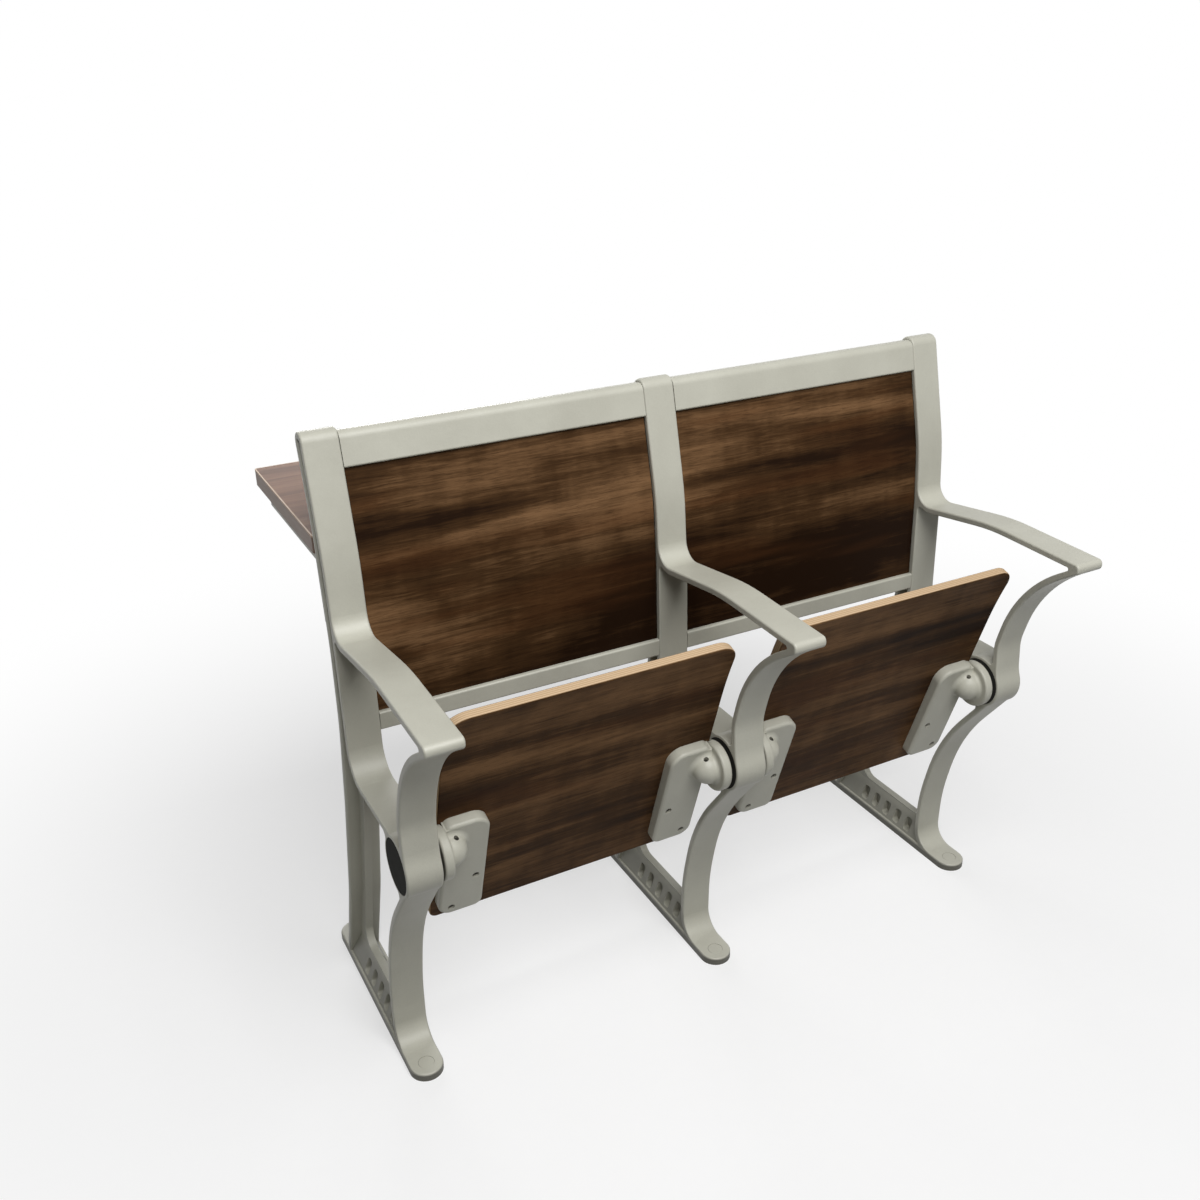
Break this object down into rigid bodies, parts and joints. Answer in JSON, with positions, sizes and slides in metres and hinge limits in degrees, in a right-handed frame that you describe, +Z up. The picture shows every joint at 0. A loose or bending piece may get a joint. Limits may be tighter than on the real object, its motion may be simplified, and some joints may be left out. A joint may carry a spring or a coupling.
{
  "type": "folding lecture bench",
  "caption": "Two-seat lecture bench on cast standards with framed plywood backs, tip-up seats, armrests and a writing desk behind.",
  "frame": {"origin": "floor level, under the middle of the bounding box", "axes": "+X along the bench to the sitter's left, +Y to the rear where the desk is, +Z up"},
  "size_m": [1.05, 0.7039, 0.915],
  "materials": {
    "painted_casting": "satin",
    "walnut_plywood": "satin",
    "desk_laminate": "satin",
    "edge_band": "matte",
    "black_plastic": "matte",
    "nylon": "matte",
    "rubber": "matte",
    "steel": "satin"
  },
  "bodies": {
    "bench_frame": {"back_rail_screws": "steel", "desk_arm_bolts": "steel", "desk_arm_nuts": "steel", "desk_board": "desk_laminate", "desk_edge_band": "edge_band", "desk_screws": "steel", "foot_plugs": "painted_casting", "left_back_bottom_rail": "painted_casting", "left_back_panel": "walnut_plywood", "left_back_top_rail": "painted_casting", "left_desk_arm": "painted_casting", "left_hub_cap": "black_plastic", "left_seat_left_buffers": "rubber", "left_seat_left_bush": "nylon", "left_seat_left_spring": "steel", "left_seat_right_buffers": "rubber", "left_seat_right_bush": "nylon", "left_seat_right_spring": "steel", "left_standard": "painted_casting", "middle_desk_arm": "painted_casting", "middle_standard": "painted_casting", "right_back_bottom_rail": "painted_casting", "right_back_panel": "walnut_plywood", "right_back_top_rail": "painted_casting", "right_desk_arm": "painted_casting", "right_hub_cap": "black_plastic", "right_seat_left_buffers": "rubber", "right_seat_left_bush": "nylon", "right_seat_left_spring": "steel", "right_seat_right_buffers": "rubber", "right_seat_right_bush": "nylon", "right_seat_right_spring": "steel", "right_standard": "painted_casting"},
    "left_seat": {"left_seat_board": "walnut_plywood", "left_seat_left_axle": "steel", "left_seat_left_bracket": "painted_casting", "left_seat_right_axle": "steel", "left_seat_right_bracket": "painted_casting", "left_seat_screws": "steel", "left_seat_set_screws": "steel"},
    "right_seat": {"right_seat_board": "walnut_plywood", "right_seat_left_axle": "steel", "right_seat_left_bracket": "painted_casting", "right_seat_right_axle": "steel", "right_seat_right_bracket": "painted_casting", "right_seat_screws": "steel", "right_seat_set_screws": "steel"}
  },
  "joints": [
    {"name": "left_seat_tip", "type": "hinge", "parent": "bench_frame", "child": "left_seat", "pos_m": [-0.25, -0.194, 0.399], "axis": [1, 0, 0], "range_deg": [0, 68], "stiffness_Nm_per_rad": 1.3, "springref_deg": -22.92},
    {"name": "right_seat_tip", "type": "hinge", "parent": "bench_frame", "child": "right_seat", "pos_m": [0.25, -0.194, 0.399], "axis": [1, 0, 0], "range_deg": [0, 68], "stiffness_Nm_per_rad": 1.3, "springref_deg": -22.92}
  ]
}
